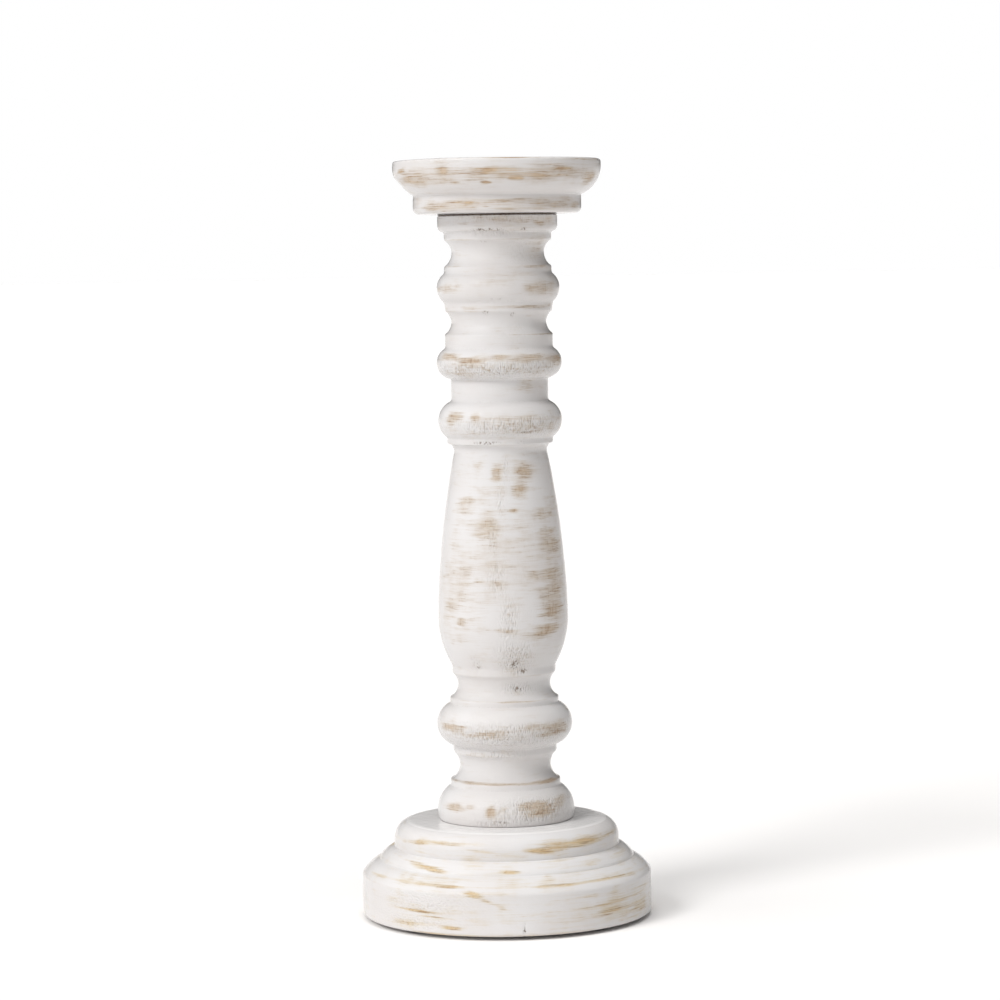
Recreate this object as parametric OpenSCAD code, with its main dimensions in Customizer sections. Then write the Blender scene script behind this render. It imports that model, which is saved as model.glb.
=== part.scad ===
// Turned wooden candlestick for a pillar candle.
// The base, the column and the candle plate are three turnings with the axis on Z.
// The floor is at z = 0, and four felt pads carry the base just above it.
// A round tenon at each end of the column is glued into a mortise, and a wood screw
// pulls each joint tight: one from under the base, one from above, under a wood plug.

/* [Overall] */
// Height of the base, without the felt pads
base_h = 37.5; // [37:0.5:60]
// Height of the column between the base and the candle plate
column_h = 241; // [200:1:320]
// Thickness of the candle plate
plate_h = 21.5; // [21:0.5:26]

/* [Base] */
// Radius of the base at the floor
base_r = 58; // [56:0.5:80]
// Height of the base's straight wall
base_wall_h = 16.5; // [14:0.5:18]
// Radius of the flat on top of the base
base_flat_r = 38; // [34:0.5:40]

/* [Column] */
// Largest radius of the bead that stands on the base
foot_r = 27.4; // [26:0.1:30]
// Largest radius of the vase-shaped swell
belly_r = 26.1; // [24:0.1:30]
// Radius of the collar under the candle plate
collar_r = 24; // [23:0.5:30]

/* [Candle plate] */
// Radius of the candle plate
plate_r = 41.5; // [40:0.5:60]
// Radius of the band under the plate's overhang
plate_band_r = 33.5; // [30:0.5:36]

/* [Joints] */
// Radius of the column's tenons
tenon_r = 11; // [9:0.5:13]
// Length of the tenon in the base
base_tenon_h = 14; // [10:0.5:18]
// Length of the tenon in the candle plate
plate_tenon_h = 9; // [7:0.5:10]
// Glue line round and under each tenon
glue_gap = 0.1; // [0.05:0.05:0.3]

/* [Screws] */
// Radius of the base screw over its thread
base_screw_r = 2.5; // [2:0.25:3]
// Length of the base screw under its head
base_screw_l = 50; // [40:5:60]
// Radius of the plate screw over its thread
plate_screw_r = 2; // [1.5:0.25:2.5]
// Length of the plate screw with its countersunk head
plate_screw_l = 35; // [30:5:40]
// Radius of the washer under the base screw's head
washer_r = 8; // [7:0.5:9]
// Radius of the wood plug over the plate screw
plug_r = 6; // [5.5:0.5:8]

/* [Felt pads] */
// Thickness of a felt pad
pad_h = 1.5; // [1:0.5:3]
// Radius of a felt pad
pad_r = 9; // [6:0.5:11]
// Distance from the axis to the middle of a felt pad
pad_ring_r = 44; // [40:0.5:46]

/* [Hidden] */
$fn = 96;
// Straight pieces in each arc of an outline
arc_steps = 12;

// Heights of the pieces above the floor
base_z = pad_h;
column_z = base_z + base_h;
plate_z = column_z + column_h;
top_z = plate_z + plate_h;

// Radii that the column's mouldings share
fillet_r = 21.5;
cove_r = 20.8;
neck_r = 19.5;
waist_r = 18.6;

// Rises of the base's tiers above its straight wall
ledge_h = 6.1;
tier_h = 4.7;
shoulder_h = 6.9;
base_band_h = base_h - base_wall_h - ledge_h - tier_h - shoulder_h;
// Radii where the ledge and the tier above it end, and where that tier starts
ledge_r = base_r - 7.4;
tier_foot_r = ledge_r + 0.4;
tier_r = base_r - 13.3;
base_band_r = base_r - 12.9;
// Rounding of the base's lower edge
base_round = 1.2;
// Rises of the candle plate's parts, and the rounding of its top edge
plate_foot_h = 2.2;
plate_band_h = 5.3;
plate_edge_h = 2.6;
plate_round = 1;
plate_flare_h = plate_h - plate_foot_h - plate_band_h - plate_edge_h - plate_round;

// The base's mouldings, from the underside up: [rise, radius below, radius above, bulge]
base_mouldings = [
  [base_round, base_r - base_round, base_r, 0.35],
  [base_wall_h - base_round, base_r, base_r, 0],
  [ledge_h, base_r, ledge_r, 0.8],
  [tier_h, tier_foot_r, tier_r, 0.8],
  [base_band_h, base_band_r, base_band_r, 0],
  [shoulder_h, base_band_r, base_flat_r, 2.0]
];
// The candle plate's mouldings, in the same form
plate_mouldings = [
  [plate_foot_h, plate_band_r - 2.2, plate_band_r, 0.6],
  [plate_band_h, plate_band_r, plate_band_r, 0],
  [plate_flare_h, plate_band_r + 0.7, plate_r, 1.7],
  [plate_edge_h, plate_r, plate_r, 0],
  [plate_round, plate_r, plate_r - plate_round, 0.29]
];
// The column's mouldings below the swell, in the same form
lower_mouldings = [
  [13.5, foot_r - 0.6, foot_r - 4.9, 2.3],
  [3.0, fillet_r + 0.5, fillet_r + 0.5, 0],
  [10.4, cove_r + 0.3, cove_r - 0.5, -2.5],
  [3.0, fillet_r - 0.9, fillet_r - 0.9, 0],
  [17.0, fillet_r - 0.6, fillet_r - 0.1, 5.9],
  [2.4, fillet_r + 0.2, fillet_r + 0.2, 0],
  [9.3, cove_r + 0.2, cove_r - 0.4, -2.3],
  [3.2, fillet_r - 0.8, fillet_r - 0.8, 0]
];
// The mouldings above the swell, in the same form
upper_mouldings = [
  [2.8, waist_r, fillet_r - 1.2, -0.4],
  [2.6, fillet_r - 0.3, fillet_r - 0.3, 0],
  [14.5, fillet_r, neck_r + 0.2, 4.2],
  [8.7, neck_r, neck_r, 0],
  [12.1, neck_r + 0.7, fillet_r + 0.6, 3.9],
  [6.0, fillet_r + 0.2, fillet_r + 0.2, 0],
  [8.4, cove_r + 0.4, cove_r + 0.2, -2.0],
  [3.6, fillet_r - 0.1, fillet_r + 0.3, 0],
  [11.8, fillet_r + 0.3, fillet_r + 0.1, 2.9],
  [3.0, fillet_r, fillet_r, 0],
  [9.6, cove_r + 0.3, cove_r + 0.2, -2.5],
  [3.4, fillet_r, fillet_r, 0],
  [2.6, collar_r - 1.7, collar_r, 0.5],
  [4.6, collar_r, collar_r, 0]
];
// The swell's lower arc reaches its fullest this far above the mouldings below it
belly_rise = 19;
// Radius where the swell starts, and the bulge of its two arcs
swell_foot_r = fillet_r - 0.8;
swell_lower_bulge = 1.3;
swell_upper_bulge = 1.5;
// Chamfer on the end of each tenon
tenon_chamfer = 1;

// The base screw's head and washer lie in a pocket under the base
screw_head_h = 3.6;
screw_head_r = 1.9 * base_screw_r;
washer_h = 1.2;
pocket_r = washer_r + 2;
pocket_h = 9;
// The plate screw's head lies under the plug
plug_h = 5;
countersink_r = 4;
countersink_h = 2.4;
// Room round a screw in its hole
screw_gap = 0.25;
// Room between a thread and the wood that it has cut
thread_gap = 0.05;
// Room past a screw's tip
tip_gap = 1.5;
// Room round the plug in its hole
plug_gap = 0.02;
// How far a cutting shape runs on past the wood
cut = 1;
// Heights of the two screws' tips above the floor
base_screw_tip_z = base_z + pocket_h - washer_h + base_screw_l;
plate_screw_tip_z = top_z - plug_h - plate_screw_l;

// The sum of the rises of the first n mouldings
function rise_sum(list, n) = n == 0 ? 0 : list[n - 1][0] + rise_sum(list, n - 1);

// The angle brought to the range from -180 to 180
function wrapped(angle) = angle - 360 * round(angle / 360);

// Points on the arc from a to b that bulges by that much to the right of its way
function arc(a, b, bulge) =
  abs(bulge) < 0.01 ? [a, b] :
  let (
    chord = norm(b - a),
    side = [b.y - a.y, a.x - b.x] / chord,
    radius = (chord * chord / 4 + bulge * bulge) / (2 * bulge),
    centre = (a + b) / 2 + side * (bulge - radius),
    half = asin(chord / 2 / abs(radius)),
    middle = atan2(side.y * sign(bulge), side.x * sign(bulge)),
    turn = wrapped(atan2(b.y - centre.y, b.x - centre.x) - middle) > 0 ? 1 : -1
  )
  [for (i = [0:arc_steps])
    centre + abs(radius) * [
      cos(middle + turn * half * (2 * i / arc_steps - 1)),
      sin(middle + turn * half * (2 * i / arc_steps - 1))
    ]];

// The outline of a stack of mouldings that starts at height z
function stack(list, z) = [
  for (i = [0:len(list) - 1])
    each arc(
      [list[i][1], z + rise_sum(list, i)],
      [list[i][2], z + rise_sum(list, i + 1)],
      list[i][3]
    )
];

// A wood screw that points down from the underside of its head, with rings for its thread
module wood_screw(radius, length, head_r, head_h, countersunk) {
  core_r = radius * 0.72;
  pitch = radius * 0.9;
  tip_h = radius * 2;
  thread_l = length * 0.6;
  rings = floor((thread_l - tip_h) / pitch);
  difference() {
    rotate_extrude() polygon(concat(
      [[0, head_h]],
      countersunk
        ? [[head_r, head_h], [head_r, head_h - 0.3], [core_r, 0]]
        : concat(arc([1, head_h], [head_r, 1], -0.8), [[head_r, 0], [core_r, 0]]),
      [[core_r, -length + thread_l]],
      [for (i = [0:rings - 1]) each [
        [core_r, -length + thread_l - i * pitch],
        [radius, -length + thread_l - (i + 0.5) * pitch]
      ]],
      [[core_r, -length + tip_h], [0, -length]]
    ));
    for (angle = [0, 90])
      rotate([0, 0, angle])
        translate([-head_r * 0.5, -head_r * 0.11, head_h * 0.45])
          cube([head_r, head_r * 0.22, head_h]);
  }
}

module base() {
  color("linen")
  translate([0, 0, base_z])
  difference() {
    rotate_extrude() polygon(concat(
      [[0, 0]],
      stack(base_mouldings, 0),
      [[0, base_h]]
    ));
    // Mortise for the column's tenon
    translate([0, 0, base_h - base_tenon_h - glue_gap])
      cylinder(r = tenon_r + glue_gap, h = base_tenon_h + cut);
    // Clearance hole and pocket for the screw
    translate([0, 0, -cut])
      cylinder(r = base_screw_r + screw_gap, h = base_h);
    translate([0, 0, -cut])
      cylinder(r = pocket_r, h = pocket_h + cut);
  }
}

module column() {
  lower_h = rise_sum(lower_mouldings, len(lower_mouldings));
  upper_h = rise_sum(upper_mouldings, len(upper_mouldings));
  belly_z = lower_h + belly_rise;
  color("ghostwhite")
  translate([0, 0, column_z])
  difference() {
    rotate_extrude() polygon(concat(
      [[0, -base_tenon_h], [tenon_r - tenon_chamfer, -base_tenon_h]],
      [[tenon_r, tenon_chamfer - base_tenon_h], [tenon_r, 0]],
      stack(lower_mouldings, 0),
      arc([swell_foot_r, lower_h], [belly_r, belly_z], swell_lower_bulge),
      arc([belly_r, belly_z], [waist_r, column_h - upper_h], swell_upper_bulge),
      stack(upper_mouldings, column_h - upper_h),
      [[tenon_r, column_h], [tenon_r, column_h + plate_tenon_h - tenon_chamfer]],
      [[tenon_r - tenon_chamfer, column_h + plate_tenon_h], [0, column_h + plate_tenon_h]]
    ));
    // Holes that the two screws cut
    translate([0, 0, -base_tenon_h - cut])
      cylinder(
        r = base_screw_r + thread_gap,
        h = base_screw_tip_z + tip_gap - column_z + base_tenon_h + cut
      );
    translate([0, 0, plate_screw_tip_z - tip_gap - column_z])
      cylinder(r = plate_screw_r + thread_gap, h = plate_screw_l);
  }
}

module candle_plate() {
  color("linen")
  translate([0, 0, plate_z])
  difference() {
    rotate_extrude() polygon(concat(
      [[0, 0]],
      stack(plate_mouldings, 0),
      [[0, plate_h]]
    ));
    // Mortise for the column's tenon
    translate([0, 0, -cut])
      cylinder(r = tenon_r + glue_gap, h = plate_tenon_h + cut + glue_gap);
    // Clearance hole, countersink and plug hole
    cylinder(r = plate_screw_r + screw_gap, h = plate_h);
    translate([0, 0, plate_h - plug_h - countersink_h])
      cylinder(r1 = plate_screw_r + screw_gap, r2 = countersink_r + screw_gap, h = countersink_h);
    translate([0, 0, plate_h - plug_h])
      cylinder(r = plug_r, h = plug_h + cut);
  }
}

module base_screw() {
  color("silver")
  translate([0, 0, base_z + pocket_h - washer_h])
  mirror([0, 0, 1])
  wood_screw(base_screw_r, base_screw_l, screw_head_r, screw_head_h, false);
}

module base_washer() {
  color("silver")
  translate([0, 0, base_z + pocket_h - washer_h])
  difference() {
    cylinder(r = washer_r, h = washer_h);
    translate([0, 0, -cut])
      cylinder(r = base_screw_r + screw_gap, h = washer_h + 2 * cut);
  }
}

module plate_screw() {
  color("silver")
  translate([0, 0, top_z - plug_h - countersink_h])
  wood_screw(plate_screw_r, plate_screw_l - countersink_h, countersink_r, countersink_h, true);
}

module plate_plug() {
  color("linen")
  translate([0, 0, top_z - plug_h])
  cylinder(r = plug_r - plug_gap, h = plug_h);
}

module foot_pad(index) {
  color("dimgray")
  rotate([0, 0, 90 * index - 45])
  translate([pad_ring_r, 0, 0])
  cylinder(r = pad_r, h = pad_h);
}

base();
column();
candle_plate();
base_screw();
base_washer();
plate_screw();
plate_plug();
foot_pad(1);  // foot_pad_1
foot_pad(2);  // foot_pad_2
foot_pad(3);  // foot_pad_3
foot_pad(4);  // foot_pad_4
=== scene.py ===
"""A turned candlestick of sanded, whitewashed softwood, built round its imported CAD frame.

Each turning is revolved again from the half section of its CAD solid, on a finer grid, so that its
arrises are softened, its surface is a little uneven, and the whitewash is worn through in places.
Lengths in this file are in millimetres unless a name or a comment says otherwise. Azimuth is in
degrees round the vertical axis: 0 faces the camera, and positive is to the right.
"""

import math

import bpy
import numpy as np
from mathutils import Matrix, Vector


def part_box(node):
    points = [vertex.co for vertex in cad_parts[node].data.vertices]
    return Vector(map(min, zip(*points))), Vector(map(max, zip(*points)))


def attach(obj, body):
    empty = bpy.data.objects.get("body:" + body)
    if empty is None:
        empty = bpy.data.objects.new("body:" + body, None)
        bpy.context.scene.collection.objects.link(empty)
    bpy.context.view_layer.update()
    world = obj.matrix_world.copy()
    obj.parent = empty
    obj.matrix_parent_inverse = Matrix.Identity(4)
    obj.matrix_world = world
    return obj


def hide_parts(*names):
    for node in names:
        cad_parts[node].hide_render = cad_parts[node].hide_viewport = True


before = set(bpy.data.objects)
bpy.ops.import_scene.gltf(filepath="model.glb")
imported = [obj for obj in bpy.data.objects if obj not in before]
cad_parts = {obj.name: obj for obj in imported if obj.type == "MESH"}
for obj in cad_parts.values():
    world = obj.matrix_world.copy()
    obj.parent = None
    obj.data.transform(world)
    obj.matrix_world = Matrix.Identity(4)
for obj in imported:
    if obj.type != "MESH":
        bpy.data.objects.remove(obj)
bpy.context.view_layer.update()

MM = 0.001
HIDDEN_R = 11.15  # section points nearer the axis than this belong to bores and tenons
SAME_POINT = 0.018  # CAD points closer together than this are one point of the section
SECTION_STEP = 0.1  # spacing at which a section is softened and its bend is measured
ROW_TURN = 0.13  # radians that a section turns from row to row, if the spacing's limits allow it
LEAST_BEND = 0.01  # 1/mm, added so that a straight run doesn't divide by 0
FLAT_ROW = 2.6  # row spacing where a face is flat or hidden
SHARP_ANGLE = 48  # degrees between two faces, above which their edge is shaded sharp
FIELD_STEP = 0.4  # row spacing of the random fields
MARK_FALL = 2.4  # exponent of a mark's fade: a higher one gives a sharper rim
MEAN_INWARD = 0.16  # how far inside its CAD surface a turning lies before it is made uneven
LEAST_INWARD, MOST_INWARD = 0.02, 1.5


# ---------------------------------------------------------------- half sections
def section_of(node, centre=(0.0, 0.0)):
    """The half section of a CAD turning, and whether it is a closed loop.

    The section is an array of (radius, height) points that run anticlockwise.
    """
    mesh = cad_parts[node].data
    co = np.zeros(len(mesh.vertices) * 3)
    mesh.vertices.foreach_get("co", co)
    co = co.reshape(-1, 3) / MM
    polar = np.stack([np.hypot(co[:, 0] - centre[0], co[:, 1] - centre[1]), co[:, 2]], axis=1)
    levels, level = np.unique(polar.round(2), axis=0, return_inverse=True)
    edges = np.zeros(len(mesh.edges) * 2, np.int32)
    mesh.edges.foreach_get("vertices", edges)
    order, closed = chain(merged(levels)[level.ravel()[edges]])
    points = levels[order]
    if not closed:
        points = np.vstack([[0, points[0, 1]], points, [0, points[-1, 1]]])
    r, z = points[:, 0], points[:, 1]
    area = np.sum(r * np.roll(z, -1) - np.roll(r, -1) * z)
    if area < 0:
        points = points[::-1]
    return points, closed


def merged(levels):
    """For each point, the number of the first point that lies in the same place."""
    same = np.arange(len(levels))
    for i in range(1, len(levels)):
        close = np.flatnonzero(np.abs(levels[:i] - levels[i]).max(axis=1) < SAME_POINT)
        if len(close):
            same[i] = same[close[0]]
    return same


def chain(ends_of_edges):
    """The points in order along the line that some edges make, and whether it is a closed loop."""
    pairs = np.sort(ends_of_edges.reshape(-1, 2), axis=1)
    pairs = np.unique(pairs[pairs[:, 0] != pairs[:, 1]], axis=0)
    near = {}
    for a, b in pairs.tolist():
        near.setdefault(a, []).append(b)
        near.setdefault(b, []).append(a)
    ends = [i for i in near if len(near[i]) == 1]
    here = ends[0] if ends else min(near)
    order, met = [here], {here}
    while True:
        step = [n for n in near[here] if n not in met]
        if not step:
            return order, not ends
        here = step[0]
        order.append(here)
        met.add(here)


def lengths(points):
    """The distance of each point along the line through them."""
    return np.concatenate([[0], np.cumsum(np.linalg.norm(np.diff(points, axis=0), axis=1))])


def smooth(values, sigma_steps):
    """Values, evenly spaced, blurred by a Gaussian, with both ends held."""
    reach = int(4 * sigma_steps) + 1
    kernel = np.exp(-0.5 * (np.arange(-reach, reach + 1) / sigma_steps) ** 2)
    kernel /= kernel.sum()
    before = 2 * values[0] - values[reach:0:-1]
    after = 2 * values[-1] - values[-2 : -reach - 2 : -1]
    return np.convolve(np.concatenate([before, values, after]), kernel, mode="valid")


def step_up(value, low, high):
    """0 below low, 1 above high, and a smooth rise between them."""
    t = np.clip((value - low) / (high - low), 0, 1)
    return t * t * (3 - 2 * t)


def resample(points, soften, finest, coarsest, coarse):
    """Rows along a section, with softened arrises, and closer together where it bends.

    Returns the rows as (radius, height), and the bend at each in 1/mm, which is positive at an arris.
    """
    s = lengths(points)
    even = np.linspace(0, s[-1], int(s[-1] / SECTION_STEP) + 1)
    step = even[1] - even[0]
    r = smooth(np.interp(even, s, points[:, 0]), soften / step)
    z = smooth(np.interp(even, s, points[:, 1]), soften / step)
    heading = np.unwrap(np.arctan2(np.gradient(z), np.gradient(r)))
    bend = smooth(np.gradient(heading) / step, 3)
    spacing = np.clip(ROW_TURN / (np.abs(bend) + LEAST_BEND), finest, coarsest)
    spacing = np.where(coarse(r, z), FLAT_ROW, spacing)
    density = smooth(1 / spacing, 5)
    count = np.concatenate([[0], np.cumsum((density[1:] + density[:-1]) / 2 * step)])
    rows = np.interp(np.linspace(0, count[-1], int(count[-1]) + 1), count, even)
    return np.stack([np.interp(rows, even, v) for v in (r, z)], axis=1), np.interp(rows, even, bend)


# ---------------------------------------------------------------- uneven surfaces
class Surface:
    """A turning's surface as a grid of rows along the section by columns round the axis."""

    def __init__(self, rows, bend, free, columns, seed, first=0):
        self.r = rows[:, :1]
        self.z = rows[:, 1:]
        self.bend = bend[:, None]
        self.free = free[:, None]
        self.s = lengths(rows)[:, None]
        self.columns = columns
        self.azimuth = (np.arange(columns) * 360 / columns - 180)[None, :]
        self.seed = seed
        self.first = first  # the place of these rows in the whole section
        self.radius = float(np.median(self.r[self.free > 0.5]))

    def field(self, along, around):
        """A smooth random field of mean 0 and spread 1, that varies over these distances."""
        self.seed += 1
        count = int(self.s[-1, 0] / FIELD_STEP) + 3
        spare = int(4 * along / FIELD_STEP) + 1
        white = np.random.default_rng(self.seed).normal(size=(count + spare, self.columns))
        column_step = 2 * math.pi * self.radius / self.columns
        by_row = np.fft.fftfreq(count + spare, FIELD_STEP)[:, None] * along
        by_column = np.fft.fftfreq(self.columns, column_step)[None, :] * around
        kept = np.fft.fft2(white) * np.exp(-2 * math.pi**2 * (by_row**2 + by_column**2))
        blurred = np.fft.ifft2(kept).real[:count]
        blurred = (blurred - blurred.mean()) / blurred.std()
        place = self.s[:, 0] / FIELD_STEP
        low = place.astype(int)
        part = (place - low)[:, None]
        return blurred[low] * (1 - part) + blurred[low + 1] * part

    def marks(self, listed):
        """The strongest of some marks at each point.

        A mark is its azimuth, half its width in degrees, its height, half its extent in height, its
        strength, and how far it rises in 10 degrees.
        """
        found = np.zeros((len(self.r), self.columns))
        for azimuth, wide, height, tall, strength, rise in listed:
            across = (self.azimuth - azimuth + 180) % 360 - 180
            up = self.z - height - across * rise / 10
            shape = np.exp(-np.abs(across / wide) ** MARK_FALL - np.abs(up / tall) ** MARK_FALL)
            found = np.maximum(found, strength * shape)
        return found * self.free

    def back(self):
        """1 on the side that faces away from the camera, 0 in front."""
        return step_up(np.abs(self.azimuth), 70, 100)

    def edge(self):
        """1 on the arrises."""
        return step_up(self.bend, 0.25, 0.9)

    def crease(self, low, high):
        """1 where the section bends inwards by more than high, 0 where by less than low, in 1/mm."""
        return step_up(-self.bend, low, high)

    def uneven(self, waves):
        """How far inside the CAD surface this one lies. A wave is its depth, and size along and around."""
        inward = MEAN_INWARD
        for depth, along, around in waves:
            inward = inward + depth * self.field(along, around)
        return inward

    def behind(self, along, around):
        """Wear for the unseen side: a broad thin stain with small worn patches in it."""
        stain = 0.36 * step_up(self.field(4 * along, 1.6 * around), -0.8, 1.2)
        return stain + 0.5 * step_up(self.field(along, around), 0.6, 2.2)


def grid_faces(rows, columns, closed):
    """The faces of a revolved grid. A section that isn't a loop has its first and last row on the axis."""
    j = np.arange(columns)
    k = (j + 1) % columns
    faces = []
    for i in range(rows) if closed else range(1, rows - 2):
        n = (i + 1) % rows
        corners = [i * columns + j, i * columns + k, n * columns + k, n * columns + j]
        faces += np.stack(corners, axis=1).tolist()
    if closed:
        return faces
    low_ring = np.stack([columns + j, columns + k], axis=1)
    high_ring = low_ring + (rows - 3) * columns
    faces += [[0, b, a] for a, b in low_ring.tolist()]
    faces += [[(rows - 1) * columns, a, b] for a, b in high_ring.tolist()]
    return faces


def revolve(name, points, closed, surface, inward, masks):
    """A closed mesh from a whole section, with the surface's rows moved inward along their normal.

    Masks are numbers kept at each point for the material. The attribute "turn" holds the sine and the
    cosine of the azimuth, and the distance along the section.
    """
    rows, columns = len(points), surface.columns
    seen = slice(surface.first, surface.first + len(surface.r))
    r = np.repeat(points[:, :1], columns, axis=1)
    z = np.repeat(points[:, 1:], columns, axis=1)
    tangent = np.gradient(points[seen], axis=0)
    tangent /= np.linalg.norm(tangent, axis=1)[:, None] + 1e-12
    r[seen] -= inward * tangent[:, 1:]
    z[seen] += inward * tangent[:, :1]
    turn = np.radians(np.repeat(surface.azimuth, rows, axis=0))
    s = np.repeat(lengths(points)[:, None], columns, axis=1)
    used = np.ones((rows, columns), bool)
    if not closed:
        used[[0, -1], 1:] = False
    used = used.ravel()
    co = np.stack([r * np.sin(turn), -r * np.cos(turn), z], axis=2).reshape(-1, 3)[used]
    lathe = np.stack([np.sin(turn), np.cos(turn), s], axis=2).reshape(-1, 3)[used]
    renumber = (np.cumsum(used) - 1).tolist()
    faces = [[renumber[v] for v in face] for face in grid_faces(rows, columns, closed)]

    mesh = bpy.data.meshes.new(name)
    mesh.from_pydata((co * MM).tolist(), [], faces)
    for key, values in masks.items():
        whole = np.zeros((rows, columns))
        whole[seen] = values
        attribute = mesh.attributes.new(key, "FLOAT", "POINT")
        attribute.data.foreach_set("value", whole.ravel()[used].astype(np.float32))
    attribute = mesh.attributes.new("turn", "FLOAT_VECTOR", "POINT")
    attribute.data.foreach_set("vector", lathe.astype(np.float32).ravel())
    mesh.shade_smooth()
    mesh.set_sharp_from_angle(angle=math.radians(SHARP_ANGLE))
    mesh.validate()
    made = bpy.data.objects.new(name, mesh)
    bpy.context.scene.collection.objects.link(made)
    return made


def turning(node, columns, seed, soften, finest, coarsest, coarse, free, shape):
    """One turned piece: its CAD section, resampled where it shows, then roughened by shape(surface).

    coarse(r, z) is true where rows may lie far apart. free(r, z) is 1 where the surface may be uneven,
    and 0 where it has to fit another piece.
    """
    points, closed = section_of(node)
    outside = points[:, 0] > HIDDEN_R
    if closed:
        begin = int(np.flatnonzero(~outside & np.roll(outside, -1))[0])
        points = np.roll(points, -begin, axis=0)
        outside = np.roll(outside, -begin)
    first = int(np.flatnonzero(outside)[0]) - 1
    last = int(np.flatnonzero(outside)[-1]) + 1
    rows, bend = resample(points[first : last + 1], soften, finest, coarsest, coarse)
    surface = Surface(rows, bend, free(rows[:, 0], rows[:, 1]), columns, seed, first)
    inward, masks = shape(surface)
    inward = np.clip(inward, LEAST_INWARD, MOST_INWARD) * surface.free
    whole = np.vstack([points[:first], rows, points[last + 1 :]])
    return revolve("turned_" + node, whole, closed, surface, inward, masks)


# ---------------------------------------------------------------- the three turnings
COLUMN_LOW, COLUMN_HIGH = 39.0, 280.0
BASE_LOW, BASE_HIGH = 1.5, 39.0
PLATE_LOW, PLATE_HIGH = 280.0, 301.5
AT_FACE = 0.02  # a height this close to a flat face's is on that face
# Where the whitewash is worn through. Each mark is its azimuth, half width, height, half height,
# strength, and rise per 10 degrees.
COLUMN_WEAR = [
    (44, 10, 276.0, 1.0, 1.0, -0.4),
    (24, 14, 276.8, 1.8, 0.5, 0.0),
    (60, 25, 266.0, 5.0, 0.36, 0.0),
    (48, 22, 259.2, 0.9, 0.60, 0.0),
    (45, 26, 250.6, 3.2, 0.72, 0.0),
    (-58, 28, 251.2, 2.0, 0.52, 0.0),
    (30, 42, 243.3, 0.7, 0.78, 0.0),
    (-30, 40, 243.2, 0.6, 0.5, 0.0),
    (-54, 16, 224.2, 1.2, 0.98, -0.3),
    (-28, 17, 222.8, 1.3, 1.0, 0.2),
    (0, 13, 223.6, 1.4, 1.0, 0.0),
    (32, 17, 223.6, 1.5, 1.0, 0.0),
    (0, 80, 223.2, 1.0, 0.74, 0.0),
    (68, 18, 222.4, 2.4, 0.84, 0.0),
    (32, 30, 211.8, 2.4, 0.34, 0.0),
    (20, 90, 197.0, 5.0, 0.26, 0.0),
    (0, 95, 219.5, 4.0, 0.26, 0.0),
    (20, 70, 252.0, 5.0, 0.24, 0.0),
    (30, 60, 276.5, 3.5, 0.34, 0.0),
    (-48, 12, 200.8, 2.2, 0.9, 0.0),
    (-24, 6, 200.6, 2.2, 0.8, 0.0),
    (25, 50, 200.0, 3.0, 0.34, 0.0),
    (8, 62, 152.0, 34.0, 0.30, 0.0),
    (-6, 8, 178.5, 4.6, 0.84, 0.0),
    (30, 15, 178.8, 3.4, 0.92, 0.0),
    (20, 11, 171.4, 4.4, 0.90, 0.0),
    (-26, 8, 180.5, 2.6, 0.5, 0.0),
    (12, 6, 163.6, 1.1, 0.84, 0.0),
    (46, 18, 162.5, 3.4, 0.62, 0.0),
    (-42, 16, 165.5, 5.0, 0.56, 0.0),
    (-12, 18, 156.5, 6.5, 0.60, 0.0),
    (54, 22, 151.0, 8.0, 0.70, 0.0),
    (-22, 8, 136.3, 0.7, 0.80, 0.0),
    (48, 26, 138.0, 2.6, 0.78, 0.0),
    (52, 22, 130.0, 6.0, 0.66, 0.0),
    (-45, 24, 132.0, 18.0, 0.44, 0.0),
    (52, 18, 124.0, 4.4, 0.88, 0.0),
    (-40, 6, 120.0, 2.2, 0.82, 0.0),
    (0, 22, 117.0, 1.0, 0.56, -0.4),
    (41, 17, 115.6, 3.0, 1.0, 0.8),
    (-52, 18, 77.5, 2.0, 0.8, 0.0),
    (-15, 22, 76.0, 2.0, 0.5, 0.0),
    (48, 30, 77.0, 3.0, 0.6, 0.0),
    (0, 90, 55.4, 0.6, 0.80, 0.0),
    (52, 26, 55.3, 0.8, 0.95, 0.0),
    (-50, 12, 46.0, 1.8, 0.85, 0.0),
    (-32, 6, 47.0, 1.2, 0.6, 0.0),
    (-13, 5, 45.5, 2.6, 1.0, 0.6),
    (-2, 6, 46.5, 1.0, 0.6, 1.5),
    (24, 17, 47.0, 2.0, 1.0, 0.2),
    (30, 14, 44.6, 1.8, 1.0, 0.6),
    (55, 14, 48.0, 2.6, 0.7, 1.2),
]
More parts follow.
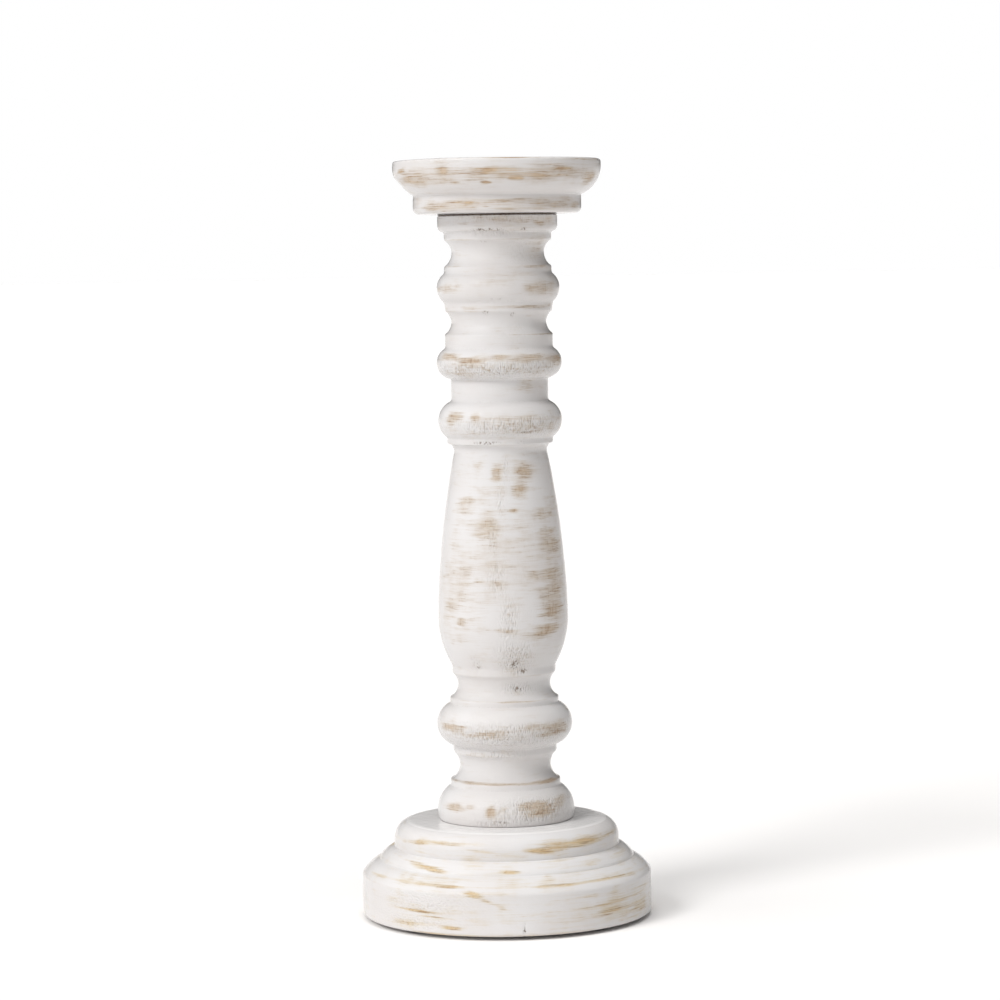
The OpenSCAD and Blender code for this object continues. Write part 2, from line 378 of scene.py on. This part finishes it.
# Where the paint is rough, with fine ticks along the grain
COLUMN_ROUGH = [
    (0, 60, 278.0, 2.0, 0.6, 0.0),
    (-5, 30, 272.5, 2.0, 0.6, 0.0),
    (25, 20, 266.0, 6.0, 0.4, 0.0),
    (0, 60, 246.0, 1.6, 0.3, 0.0),
    (20, 20, 232.0, 8.0, 0.3, 0.0),
    (0, 100, 218.9, 3.6, 0.9, 0.0),
    (20, 80, 196.4, 4.4, 0.8, 0.0),
    (5, 5, 180.0, 7.0, 0.5, 0.0),
    (-1, 5, 168.0, 7.5, 0.5, 0.0),
    (-9, 6, 153.0, 8.0, 0.55, 0.0),
    (-7, 12, 137.0, 8.0, 0.5, 0.0),
    (5, 9, 120.0, 9.0, 0.6, 0.0),
    (12, 22, 105.0, 7.0, 0.8, 0.0),
    (-30, 10, 103.0, 5.0, 0.5, 0.0),
    (18, 26, 93.0, 3.0, 0.7, 0.0),
    (5, 90, 75.0, 5.5, 0.8, 0.0),
    (-15, 50, 67.0, 2.5, 0.6, 0.0),
    (30, 45, 45.0, 6.0, 0.8, 0.0),
    (-10, 20, 40.5, 2.0, 0.8, 0.0),
]
# Where the paint has chipped off in small dark pits, mostly in the creases
COLUMN_CHIPS = [
    (-10, 20, 273.5, 0.9, 0.95, 0.0),
    (28, 7, 273.7, 0.9, 0.85, 0.0),
    (-15, 5, 269.2, 1.0, 0.70, 0.0),
    (-2, 12, 246.5, 0.6, 0.60, 0.0),
    (-14, 5, 241.2, 1.3, 0.75, 0.0),
    (16, 4, 240.4, 1.3, 0.75, 0.0),
    (-2, 5, 217.5, 0.7, 0.90, 0.0),
    (25, 13, 194.4, 0.8, 0.75, 0.0),
    (-14, 21, 190.2, 0.8, 0.90, 0.0),
    (23, 6, 190.3, 0.8, 0.85, 0.0),
    (11, 6, 103.0, 3.2, 0.90, 0.0),
    (21, 7, 100.0, 1.3, 0.90, 0.0),
    (16, 9, 92.8, 1.6, 0.90, 0.0),
    (-29, 5, 102.0, 2.6, 0.66, 0.0),
    (-10, 3, 103.0, 1.5, 0.60, 0.0),
    (-8, 14, 41.0, 1.0, 0.80, 0.0),
    (20, 12, 42.0, 1.2, 0.66, 0.0),
]
# The same kinds of marks on the base. The first two, faint and broad over the front of the ledge and the
# tier above it, are painted shade: a thin stain that darkens these upward faces.
BASE_WEAR_AND_SHADE = [
    (10, 95, 22.6, 4.6, 0.27, 0.0),
    (10, 95, 29.5, 3.0, 0.24, 0.0),
    (48, 34, 10.0, 7.0, 0.40, 0.0),
    (-20, 50, 9.0, 7.0, 0.16, 0.0),
    (36, 22, 34.0, 2.0, 0.84, 0.2),
    (-46, 24, 34.4, 1.0, 0.74, 0.5),
    (-13, 9, 32.6, 0.6, 0.62, -0.7),
    (17, 8, 32.4, 1.3, 1.10, -0.9),
    (38, 17, 34.0, 1.5, 0.98, 0.3),
    (24, 9, 33.3, 1.1, 0.88, 0.0),
    (66, 14, 34.6, 1.2, 0.66, 0.0),
    (-40, 10, 26.0, 1.1, 0.98, -0.5),
    (-34, 7, 25.2, 0.8, 0.90, -0.4),
    (1, 5, 25.4, 0.8, 0.84, -0.3),
    (50, 26, 26.4, 0.9, 0.50, 0.3),
    (0, 75, 20.6, 0.45, 0.62, 0.0),
    (-22, 8, 20.5, 0.6, 0.88, 0.0),
    (38, 34, 20.6, 0.6, 0.92, 0.0),
    (-66, 10, 20.6, 0.6, 0.74, 0.0),
    (-13, 4, 18.0, 1.4, 0.80, -3.0),
    (-8, 3, 15.6, 0.9, 0.66, -3.0),
    (-3, 3, 13.4, 0.8, 0.52, -3.0),
    (-38, 13, 10.2, 0.6, 1.0, -0.3),
    (-30, 8, 8.6, 0.5, 0.80, -0.4),
    (-22, 5, 4.6, 0.8, 0.95, -0.4),
    (-44, 12, 4.8, 2.0, 0.46, 0.0),
    (33, 7, 15.6, 0.9, 0.62, 0.0),
    (47, 22, 11.4, 0.7, 0.74, 0.3),
    (52, 26, 8.6, 1.0, 0.66, 0.3),
    (64, 18, 6.4, 2.0, 0.56, 0.0),
    (16, 4, 9.0, 0.7, 0.50, 0.0),
]
BASE_ROUGH = [
    (-34, 24, 13.0, 5.0, 0.5, 0.0),
    (-40, 22, 6.0, 4.0, 0.45, 0.0),
    (-14, 12, 17.0, 3.0, 0.3, 0.0),
]
# A short upright drying crack, low on the wall
BASE_CRACK = [(6.4, 0.5, 4.4, 2.9, 1.0, 0.0)]
# The same kind of marks as the column's wear, on the plate
PLATE_WEAR = [
    (10, 20, 301.2, 0.5, 0.74, 0.0),
    (60, 34, 300.6, 0.6, 0.50, 0.0),
    (-66, 6, 297.0, 1.1, 1.05, 0.4),
    (-55, 24, 293.0, 2.4, 0.74, 0.0),
    (-31, 7, 296.4, 1.8, 0.92, 0.0),
    (0, 30, 296.7, 1.3, 0.80, 0.0),
    (-4, 7, 296.2, 1.2, 1.06, 0.0),
    (40, 26, 297.0, 0.7, 0.66, 0.0),
    (11, 6, 293.1, 1.0, 1.22, 0.0),
    (27, 13, 293.4, 1.2, 0.86, 0.0),
    (-6, 4, 291.6, 0.8, 0.96, 0.0),
    (-24, 4, 291.7, 0.5, 0.86, 0.0),
    (64, 13, 294.0, 3.0, 0.74, 0.0),
    (0, 88, 295.0, 3.8, 0.64, 0.0),
    (-19, 5, 284.1, 0.9, 1.06, 0.0),
    (-28, 13, 284.7, 0.9, 0.80, 0.0),
    (-2, 20, 284.0, 0.6, 0.66, 0.0),
    (6, 11, 281.4, 0.7, 0.80, 0.0),
    (41, 9, 282.7, 1.1, 0.86, 0.0),
    (66, 10, 282.5, 1.4, 0.88, 0.0),
    (-45, 22, 282.8, 1.8, 0.56, 0.0),
    (14, 80, 283.2, 3.0, 0.66, 0.0),
]
# A flattened place on the left of the plate's overhang: azimuth, half width, height, half height, depth
PLATE_FLAT = (-84, 30, 290.5, 3.2, 1.0)


def column_shape(surface):
    """How far the column's surface lies inside the CAD's, and its masks."""
    edge = surface.edge()
    crease = surface.crease(0.15, 0.7)
    wear = surface.marks(COLUMN_WEAR)
    wear = np.maximum(wear, surface.back() * step_up(surface.field(4, 12), 0.9, 2.0) * 0.9)
    wear = np.maximum(wear, edge * step_up(surface.field(3, 16), -0.2, 1.6) * 0.75)
    rough_behind = surface.back() * 0.5 * step_up(surface.field(7, 9), 0.2, 1.8)
    rough = np.maximum(surface.marks(COLUMN_ROUGH), rough_behind)
    inward = surface.uneven([(0.08, 30, 50), (0.045, 6, 14), (0.014, 0.8, 900)])
    lumps = 0.03 * surface.field(1.1, 1.6) * (0.3 + rough)
    nicks = 0.3 * step_up(surface.field(0.9, 1.3), 1.5, 2.8) * np.maximum(edge, crease) * (0.3 + rough)
    # A groove under the plate, with painted shade: the material paints it near black where the crease mask
    # is above 1.1
    joint = step_up(surface.z, COLUMN_HIGH - 0.85, COLUMN_HIGH - 0.45)
    inward = inward + lumps + nicks + 0.10 * wear + 0.7 * joint
    chipped = np.maximum(0.42 * crease, surface.marks(COLUMN_CHIPS))
    wear = np.maximum(wear, surface.back() * surface.behind(2.6, 9))
    masks = {"wear": wear * (1 - joint), "rough": rough, "crease": np.maximum(chipped, 2 * joint)}
    return inward, masks


def base_shape(surface):
    """How far the base's surface lies inside the CAD's, and its masks."""
    edge = surface.edge()
    crease = surface.crease(0.12, 0.6)
    wear = surface.marks(BASE_WEAR_AND_SHADE)
    wear = np.maximum(wear, surface.back() * step_up(surface.field(3, 16), 1.0, 2.0) * 0.95)
    wear = np.maximum(wear, edge * step_up(surface.field(3, 20), -0.4, 1.4) * 0.6)
    rough_behind = surface.back() * 0.4 * step_up(surface.field(6, 14), 0.8, 1.8)
    rough = np.maximum(surface.marks(BASE_ROUGH), rough_behind)
    inward = surface.uneven([(0.07, 30, 60), (0.05, 5, 16), (0.012, 0.8, 2000)])
    lumps = 0.025 * surface.field(0.9, 1.6) * (0.3 + rough)
    nicks = 0.3 * step_up(surface.field(0.9, 1.8), 1.6, 2.8) * edge
    crack = surface.marks(BASE_CRACK)
    inward = inward + lumps + nicks + 0.12 * wear + 0.3 * crack
    wear = np.maximum(wear, surface.back() * surface.behind(1.6, 14))
    # Painted light on the flat top: paler paint there stands in for light that the lamps don't bring under
    # the plate, and the material shows it where the wear mask is below -0.1
    wear = wear - 1.2 * step_up(surface.z, BASE_HIGH - 0.45, BASE_HIGH - 0.15)
    # The crack's mask reaches 1.6, so the material paints it near black as shade, like the gap under the
    # plate
    masks = {"wear": wear, "rough": rough, "crease": np.maximum(0.3 * crease, 1.6 * crack)}
    return inward, masks


def plate_shape(surface):
    """How far the candle plate's surface lies inside the CAD's, and its masks."""
    edge = surface.edge()
    crease = surface.crease(0.12, 0.6)
    wear = surface.marks(PLATE_WEAR)
    drift = surface.field(2.4, 16)
    wear = np.maximum(wear, surface.back() * step_up(drift, 0.8, 1.8) * 0.95)
    wear = np.maximum(wear, edge * step_up(surface.field(3, 20), -0.2, 1.4) * 0.6)
    wear = np.maximum(wear, (surface.z > PLATE_HIGH - 0.3) * step_up(drift, 0.9, 2.0) * 0.8)
    rough = step_up(surface.field(6, 12), 1.0, 2.0) * 0.3
    inward = surface.uneven([(0.07, 30, 60), (0.05, 5, 14), (0.012, 0.8, 2000)])
    lumps = 0.025 * surface.field(0.9, 1.6) * (0.4 + rough)
    nicks = 0.35 * step_up(surface.field(0.9, 2.4), 1.4, 2.6) * edge
    azimuth, wide, height, tall, depth = PLATE_FLAT
    across = np.abs((surface.azimuth - azimuth) / wide)
    up = np.abs((surface.z - height) / tall)
    flat = np.exp(-(across**3) - up**3)
    inward = inward + lumps + nicks + 0.14 * wear + depth * flat * surface.free
    below_top = surface.z < PLATE_HIGH - 1.0
    wear = np.maximum(wear, surface.back() * below_top * surface.behind(1.2, 14))
    masks = {"wear": wear, "rough": rough, "crease": 0.3 * crease}
    return inward, masks


# The plain numbers in coarse and free bound the flat faces, and the places where pieces meet
column = turning(
    "column", columns=232, seed=100, soften=0.52, finest=0.35, coarsest=0.84,
    coarse=lambda r, z: (z < COLUMN_LOW + AT_FACE) | (z > COLUMN_HIGH - AT_FACE),
    free=lambda r, z: step_up(np.minimum(z - COLUMN_LOW, COLUMN_HIGH - z), 0.05, 1.0),
    shape=column_shape,
)
base = turning(
    "base", columns=560, seed=200, soften=0.42, finest=0.32, coarsest=0.55,
    coarse=lambda r, z: (z < BASE_LOW + AT_FACE) & (r < 54) | (z > BASE_HIGH - AT_FACE) & (r < 25),
    free=lambda r, z: np.where(z > 30, step_up(r, 26.5, 28.0), 1.0) * step_up(r, 12, 14),
    shape=base_shape,
)
plate = turning(
    "candle_plate", columns=480, seed=300, soften=0.48, finest=0.32, coarsest=0.6,
    coarse=lambda r, z: (z < PLATE_LOW + AT_FACE) & (r < 23) | (z > PLATE_HIGH - AT_FACE) & (r < 32),
    free=lambda r, z: np.where(z < 285, step_up(r, 23.5, 25.0), step_up(r, 12, 14)),
    shape=plate_shape,
)


# ---------------------------------------------------------------- node helpers
def join(tree, socket, value):
    """Feeds a socket from another socket, or sets it to a plain value."""
    if isinstance(value, bpy.types.NodeSocket):
        tree.links.new(value, socket)
    else:
        socket.default_value = value


def node(tree, kind, inputs, **settings):
    """A shader node of this kind, with its inputs joined and its settings made."""
    made = tree.nodes.new("ShaderNode" + kind)
    for key, value in settings.items():
        setattr(made, key, value)
    for key, value in inputs.items():
        join(tree, made.inputs[key], value)
    return made


def calc(tree, operation, a, b=0.0, c=0.0):
    return node(tree, "Math", {0: a, 1: b, 2: c}, operation=operation).outputs[0]


def times(tree, a, b):
    return calc(tree, "MULTIPLY", a, b)


def ramp(tree, value, low, high, start=0.0, end=1.0):
    """start where value is below low, end where it is above high, smooth between."""
    made = node(
        tree, "MapRange",
        {"Value": value, "From Min": low, "From Max": high, "To Min": start, "To Max": end},
        interpolation_type="SMOOTHSTEP",
    )
    return made.outputs["Result"]


def tint(tree, factor, a, b):
    """The colour a, turning into b as factor goes from 0 to 1."""
    made = tree.nodes.new("ShaderNodeMix")
    made.data_type = "RGBA"
    # A mix node has sockets for every data type, and these are the factor's and the two colours'
    for place, value in ((0, factor), (6, a), (7, b)):
        join(tree, made.inputs[place], value)
    return made.outputs[2]


def stretched(tree, vector, size, turn=0.0):
    """The vector in units of size, after a turn about the vertical, in degrees."""
    made = node(
        tree, "Mapping",
        {"Vector": vector, "Rotation": (0, 0, math.radians(turn)), "Scale": size},
        vector_type="TEXTURE",
    )
    return made.outputs[0]


def noise(tree, vector, detail=2.0, roughness=0.55, distortion=0.0):
    inputs = {
        "Vector": vector, "Scale": 1.0, "Detail": detail,
        "Roughness": roughness, "Distortion": distortion,
    }
    return node(tree, "TexNoise", inputs).outputs["Fac"]


def solid_place(tree):
    return node(tree, "TexCoord", {}).outputs["Object"]


def even_noise(tree, size, *settings):
    """Noise of the same size, in mm, in every direction. The settings are those of noise()."""
    return noise(tree, stretched(tree, solid_place(tree), (size * MM,) * 3), *settings)


def mask(tree, name):
    return node(tree, "Attribute", {}, attribute_name=name).outputs["Fac"]


def sum_of(tree, terms):
    """The sum of amount * (value - middle) over the terms."""
    total = None
    for value, amount, middle in terms:
        part = calc(tree, "MULTIPLY_ADD", value, amount, -amount * middle)
        total = part if total is None else calc(tree, "ADD", total, part)
    return total


def new_material(name):
    made = bpy.data.materials.new(name)
    made.use_nodes = True
    made.node_tree.nodes.clear()
    return made, made.node_tree


def finish_material(tree, colour, roughness, height, distance_mm, metallic=0.0, specular=0.5):
    """The shader of a material. Its bump is height times distance_mm deep."""
    bump = node(tree, "Bump", {"Height": height, "Distance": distance_mm * MM, "Strength": 1.0})
    shader = node(
        tree, "BsdfPrincipled",
        {
            "Base Color": colour, "Roughness": roughness, "Normal": bump.outputs[0],
            "Metallic": metallic, "Specular IOR Level": specular,
        },
    )
    out = tree.nodes.new("ShaderNodeOutputMaterial")
    tree.links.new(shader.outputs[0], out.inputs["Surface"])


# ---------------------------------------------------------------- materials
PAINT = (0.686, 0.661, 0.649, 1)
PAINT_CLEAN = (0.714, 0.699, 0.695, 1)
# Paler paint: painted light on the base's flat top
TOP_PAINTED_LIGHT = (0.810, 0.793, 0.785, 1)
STAIN_BEIGE = (0.565, 0.495, 0.420, 1)
STAIN_OCHRE = (0.610, 0.520, 0.385, 1)
WOOD_PALE = (0.570, 0.455, 0.345, 1)
WOOD_DEEP = (0.445, 0.325, 0.225, 1)
BASE_WOOD_PALE = (0.66, 0.51, 0.31, 1)
BASE_WOOD_DEEP = (0.54, 0.36, 0.18, 1)
PLATE_WOOD_PALE = (0.60, 0.44, 0.28, 1)
PLATE_WOOD_DEEP = (0.42, 0.26, 0.13, 1)
WOOD_LINE = (0.265, 0.170, 0.105, 1)
# Dark brown of the specks in the creases and among the ticks of rough paint
DARK_SPECK = (0.230, 0.180, 0.140, 1)
# Near black: painted shade in the gap under the plate and in the base's crack
GAP_PAINTED_SHADE = (0.075, 0.050, 0.036, 1)
FELT_DARK = (0.035, 0.033, 0.032, 1)
FELT_PALE = (0.20, 0.19, 0.18, 1)
STEEL_DARK = (0.52, 0.52, 0.53, 1)
STEEL_PALE = (0.68, 0.68, 0.67, 1)
FLOOR_WHITE = (0.978, 0.962, 0.950, 1)


def sanding_noises(tree, radius, dash_size, band_size):
    """Noises drawn out round the axis, as sanding on a lathe leaves them, and specks that aren't."""
    lathe = node(tree, "Attribute", {}, attribute_name="turn").outputs["Vector"]

    def drawn_out(size, detail, distortion=0.0):
        span = size[0] / radius
        return noise(tree, stretched(tree, lathe, (span, span, size[1])), detail, 0.6, distortion)

    dash = drawn_out(dash_size, 3, 0.15)
    hair = drawn_out((dash_size[0] * 1.5, dash_size[1] * 0.55), 2)
    band = drawn_out(band_size, 2, 0.3)
    speck = drawn_out((0.75, 1.3), 1)
    return dash, hair, band, speck


def grain_noises(tree, grain_size, grain_turn):
    """Noises drawn out along the wood's grain: fibre, broad bands of colour, and fine ticks."""
    grain = [g * MM for g in grain_size]
    broad_size = [g * 4 for g in grain]
    if grain_turn:
        tick_size = (grain[0] * 0.5, grain[1], grain[2])
    else:
        tick_size = (grain[0] * 1.1, grain[1] * 1.1, grain[2] * 0.32)
    fibre = noise(tree, stretched(tree, solid_place(tree), grain, grain_turn), 3, 0.6, 0.4)
    broad = noise(tree, stretched(tree, solid_place(tree), broad_size, grain_turn), 2, 0.5, 0.3)
    ticks = noise(tree, stretched(tree, solid_place(tree), tick_size, grain_turn), 0.4, 0.5)
    return fibre, broad, ticks


def whitewash(name, radius, grain_size, grain_turn, dash_size, band_size, stain, pale, deep):
    """Chalky white paint on softwood, sanded back along the way that the lathe turns.

    grain_size is in x, y and z once the grain has been turned by grain_turn degrees. dash_size and
    band_size are those of the sanding marks, round the axis and along the section. The masks are wear
    (1 is bare wood, below 0 is paler paint, which is painted light on the base's flat top), rough (1 is
    coarse paint) and crease (1 is chipped paint with dark specks, 2 is painted shade, near black, in a
    gap or a crack).
    """
    made, tree = new_material(name)
    dash, hair, band, speck = sanding_noises(tree, radius, dash_size, band_size)
    fibre, broad, ticks = grain_noises(tree, grain_size, grain_turn)
    blotch = even_noise(tree, 9, 3, 0.55)
    cloud = even_noise(tree, 34, 2, 0.5)
    grit = even_noise(tree, 0.6, 2, 0.6)
    wear, rough, crease = (mask(tree, key) for key in ("wear", "rough", "crease"))

    flecks = times(tree, calc(tree, "SUBTRACT", ticks, 0.44), ramp(tree, rough, 0.1, 1.0))
    rubbed = sum_of(tree, [
        (wear, 1.0, 0.0), (dash, 1.5, 0.5), (hair, 1.0, 0.5), (band, 0.9, 0.5),
        (fibre, 0.8, 0.5), (blotch, 0.6, 0.5), (flecks, 1.5, 0.0),
    ])
    soft = sum_of(tree, [
        (wear, 1.0, 0.0), (blotch, 1.0, 0.5), (band, 1.1, 0.5), (dash, 0.6, 0.5),
        (flecks, 0.8, 0.0), (rough, 0.10, 0.0),
    ])
    bare = ramp(tree, rubbed, 0.50, 1.10)
    thin = ramp(tree, soft, 0.04, 0.92)
    # Painted light: paler paint where the wear mask is below 0, which is the base's flat top
    top_painted_light = ramp(tree, wear, -0.6, -0.1, 1.0, 0.0)
    scratch = times(tree, ramp(tree, hair, 0.56, 0.64), ramp(tree, soft, 0.26, 0.70))
    tick = times(tree, ramp(tree, ticks, 0.60, 0.68), ramp(tree, rough, 0.15, 0.9))
    split = times(tree, ramp(tree, speck, 0.53, 0.62), ramp(tree, crease, 0.3, 0.9))
    dark = calc(tree, "MAXIMUM", times(tree, tick, 0.20), times(tree, split, 0.86))
    gap_painted_shade = ramp(tree, crease, 1.1, 1.7)

    paint = tint(tree, ramp(tree, cloud, 0.35, 0.65), PAINT, PAINT_CLEAN)
    paint = tint(tree, top_painted_light, paint, TOP_PAINTED_LIGHT)
    paint = tint(tree, times(tree, thin, 0.92), paint, stain)
    deepness = sum_of(tree, [(broad, 1.0, 0.0), (blotch, 0.6, 0.5)])
    wood = tint(tree, ramp(tree, deepness, 0.38, 0.66), pale, deep)
    wood = tint(tree, ramp(tree, fibre, 0.54, 0.70, 0.0, 0.7), wood, WOOD_LINE)
    colour = tint(tree, times(tree, bare, 0.74), paint, wood)
    colour = tint(tree, times(tree, scratch, 0.62), colour, WOOD_LINE)
    # Dark specks in the creases and among the ticks where the paint is rough
    colour = tint(tree, dark, colour, DARK_SPECK)
    # Painted shade, near black, in the gap under the plate and in the base's crack
    colour = tint(tree, times(tree, gap_painted_shade, 0.9), colour, GAP_PAINTED_SHADE)

    # A known fault: the last middle should be 21. At -21 the sum is below 0, which renders as 0.
    roughness = sum_of(tree, [(grit, 0.16, 0.5), (bare, -0.12, 0.0), (thin, -0.04, -21.0)])
    height = sum_of(tree, [
        (fibre, 0.05, 0.5), (dash, 0.05, 0.5), (hair, 0.035, 0.5), (bare, -0.07, 0.0),
        (dark, -0.22, 0.0), (blotch, 0.12, 0.5),
    ])
    relief = sum_of(tree, [(grit, 0.22, 0.5), (ticks, 1.1, 0.5)])
    bumpy = times(tree, relief, ramp(tree, rough, 0.0, 0.9, 0.05, 0.85))
    finish_material(tree, colour, roughness, calc(tree, "ADD", height, bumpy), 1.0, specular=0.07)
    return made


def felt():
    """Dark grey wool felt."""
    made, tree = new_material("felt")
    fluff = even_noise(tree, 0.5, 4, 0.7, 0.8)
    matted = even_noise(tree, 3, 2)
    shade = calc(tree, "ADD", times(tree, fluff, 0.7), times(tree, matted, 0.3))
    colour = tint(tree, shade, FELT_DARK, FELT_PALE)
    finish_material(tree, colour, ramp(tree, matted, 0.3, 0.7, 0.86, 0.98), fluff, 0.35, specular=0.15)
    return made


def steel():
    """Zinc-plated steel, brushed along the screw's axis."""
    made, tree = new_material("zinc_steel")
    spangle = even_noise(tree, 1.6, 3)
    brushed = noise(tree, stretched(tree, solid_place(tree), (0.25 * MM, 0.25 * MM, 2.5 * MM)), 2)
    colour = tint(tree, ramp(tree, spangle, 0.35, 0.65), STEEL_DARK, STEEL_PALE)
    finish_material(tree, colour, ramp(tree, brushed, 0.3, 0.7, 0.28, 0.46), brushed, 0.04, metallic=1.0)
    return made


column_wash = whitewash(
    "whitewash_column", radius=23.0, grain_size=(0.55, 0.55, 5.0), grain_turn=0,
    dash_size=(5.0, 0.45), band_size=(15.0, 1.7), stain=STAIN_BEIGE, pale=WOOD_PALE, deep=WOOD_DEEP,
)
base_wash = whitewash(
    "whitewash_base", radius=54.0, grain_size=(16.0, 0.9, 0.75), grain_turn=42,
    dash_size=(9.0, 0.5), band_size=(24.0, 1.8), stain=STAIN_OCHRE,
    pale=BASE_WOOD_PALE, deep=BASE_WOOD_DEEP,
)
plate_wash = whitewash(
    "whitewash_plate", radius=38.0, grain_size=(18.0, 0.9, 0.6), grain_turn=8,
    dash_size=(9.0, 0.45), band_size=(22.0, 1.4), stain=STAIN_BEIGE,
    pale=PLATE_WOOD_PALE, deep=PLATE_WOOD_DEEP,
)
felt_grey = felt()
zinc = steel()


# ---------------------------------------------------------------- plug and pads
DISC_COLUMNS = 72


def small_disc(name, source, soften, seed, depth, centre=(0.0, 0.0)):
    """A plug or a pad: its CAD section with softened edges and a slightly uneven face."""
    points, _ = section_of(source, centre)
    rows, bend = resample(points, soften, finest=0.12, coarsest=0.8, coarse=lambda r, z: False)
    surface = Surface(rows, bend, np.ones(len(rows)), DISC_COLUMNS, seed)
    inward = np.clip(depth * (1.2 + surface.field(1.4, 1.8)), 0, 3 * depth)
    inward[[0, -1]] = 0
    masks = {"wear": np.clip(surface.field(2, 4) * 0.3, 0, 1), "rough": 0, "crease": 0}
    made = revolve(name, rows, False, surface, inward, masks)
    made.data.transform(Matrix.Translation((centre[0] * MM, centre[1] * MM, 0)))
    return made


def foot_pad(index):
    """One of the four felt pads, where the CAD has it."""
    low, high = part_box(f"foot_pad_{index}")
    middle = (low + high) / 2 / MM
    centre = (middle.x, middle.y)
    return small_disc(f"felt_pad_{index}", f"foot_pad_{index}", 0.3, 410 + index, 0.04, centre)


plug = small_disc("turned_plug", "plate_plug", 0.25, 400, 0.03)
pieces = [
    (column, "column", "whitewashed_column", column_wash),
    (base, "base", "whitewashed_base", base_wash),
    (plate, "candle_plate", "whitewashed_plate", plate_wash),
    (plug, "plate_plug", "whitewashed_plate", plate_wash),
]
pieces += [(foot_pad(i), f"foot_pad_{i}", "pad_felt", felt_grey) for i in range(1, 5)]
for piece, source, slot, finish in pieces:
    piece.data.materials.append(finish)
    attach(piece, "root")
    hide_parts(source)

for name in ("base_screw", "base_washer", "plate_screw"):
    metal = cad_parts[name]
    metal.data.materials.clear()
    metal.data.materials.append(zinc)


# ---------------------------------------------------------------- floor, light and camera
FLOOR_REACH = 60.0  # metres
CAMERA_PLACE = (-0.00056, -1.380, 0.261)  # metres
CAMERA_DOWN = 3.92  # degrees
CAMERA_ROLL = -0.89  # degrees


def pale_floor():
    """A plain sheet of pale paper, far wider than the view."""
    mesh = bpy.data.meshes.new("floor")
    corners = [(x * FLOOR_REACH, y * FLOOR_REACH, 0) for x, y in ((-1, -1), (1, -1), (1, 1), (-1, 1))]
    mesh.from_pydata(corners, [], [(0, 1, 2, 3)])
    paper, tree = new_material("floor_paper")
    finish_material(tree, FLOOR_WHITE, 0.9, even_noise(tree, 4, 2), 0.01, specular=0.0)
    mesh.materials.append(paper)
    made = bpy.data.objects.new("floor", mesh)
    bpy.context.scene.collection.objects.link(made)
    return made


def sun(name, azimuth, elevation, spread, strength, colour=(1.0, 1.0, 1.0)):
    """A light from this azimuth and elevation, seen as a disc that is spread degrees wide."""
    light = bpy.data.lights.new(name, "SUN")
    light.energy = strength
    light.angle = math.radians(spread)
    light.color = colour
    made = bpy.data.objects.new(name, light)
    made.rotation_euler = (math.radians(90 - elevation), 0, math.radians(azimuth))
    bpy.context.scene.collection.objects.link(made)


def studio_world():
    """White where the camera sees past the floor, and nearly dark for everything else."""
    world = bpy.data.worlds.new("studio")
    bpy.context.scene.world = world
    world.use_nodes = True
    sky = world.node_tree
    sky.nodes.clear()
    white = node(sky, "Background", {"Color": (1, 1, 1, 1), "Strength": 1.0})
    dim = node(sky, "Background", {"Color": (1.0, 0.97, 0.94, 1), "Strength": 0.01})
    path = node(sky, "LightPath", {})
    by_ray = {0: path.outputs["Is Camera Ray"], 1: dim.outputs[0], 2: white.outputs[0]}
    mixed = node(sky, "MixShader", by_ray)
    out = sky.nodes.new("ShaderNodeOutputWorld")
    sky.links.new(mixed.outputs[0], out.inputs["Surface"])


def photo_camera():
    """The camera at the photo's angle."""
    lens = bpy.data.cameras.new("camera")
    lens.lens = 125
    lens.sensor_width = 36
    lens.sensor_fit = "HORIZONTAL"
    lens.clip_start = 0.1
    lens.clip_end = 200
    made = bpy.data.objects.new("camera", lens)
    bpy.context.scene.collection.objects.link(made)
    down = Matrix.Rotation(math.radians(90 - CAMERA_DOWN), 4, "X")
    roll = Matrix.Rotation(math.radians(CAMERA_ROLL), 4, "Z")
    made.matrix_world = Matrix.Translation(CAMERA_PLACE) @ (down @ roll)
    return made


pale_floor()
sun("key_light", azimuth=-43, elevation=38, spread=22, strength=1.42)
sun("low_light", azimuth=-74, elevation=12, spread=80, strength=1.06, colour=(1.0, 0.995, 0.99))
sun("front_light", azimuth=0, elevation=58, spread=95, strength=1.02)
sun("top_light", azimuth=0, elevation=89, spread=50, strength=1.34)
studio_world()
bpy.context.scene.camera = photo_camera()
bpy.context.scene.view_settings.view_transform = "Standard"

bpy.context.view_layer.update()
